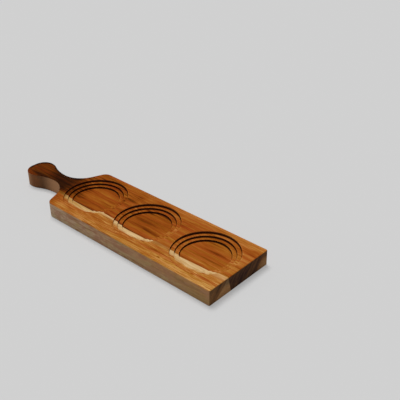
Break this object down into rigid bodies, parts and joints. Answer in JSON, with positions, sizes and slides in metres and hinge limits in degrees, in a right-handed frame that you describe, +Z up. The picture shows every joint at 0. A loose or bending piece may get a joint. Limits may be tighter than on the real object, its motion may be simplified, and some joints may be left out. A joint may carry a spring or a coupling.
{
  "type": "tasting flight board",
  "caption": "Long one-piece wooden paddle board with a waisted handle and a row of round wells, stepped down to a flat floor, for standing tasting glasses in.",
  "frame": {"origin": "middle of the underside's enclosing rectangle, on the surface that the board stands on", "axes": "+X along the board from the handle to the free end, +Y across it, +Z up out of the wells"},
  "size_m": [0.367, 0.1, 0.0205],
  "materials": {
    "wood": "oiled"
  },
  "bodies": {
    "root": {"board": "wood"}
  },
  "joints": []
}
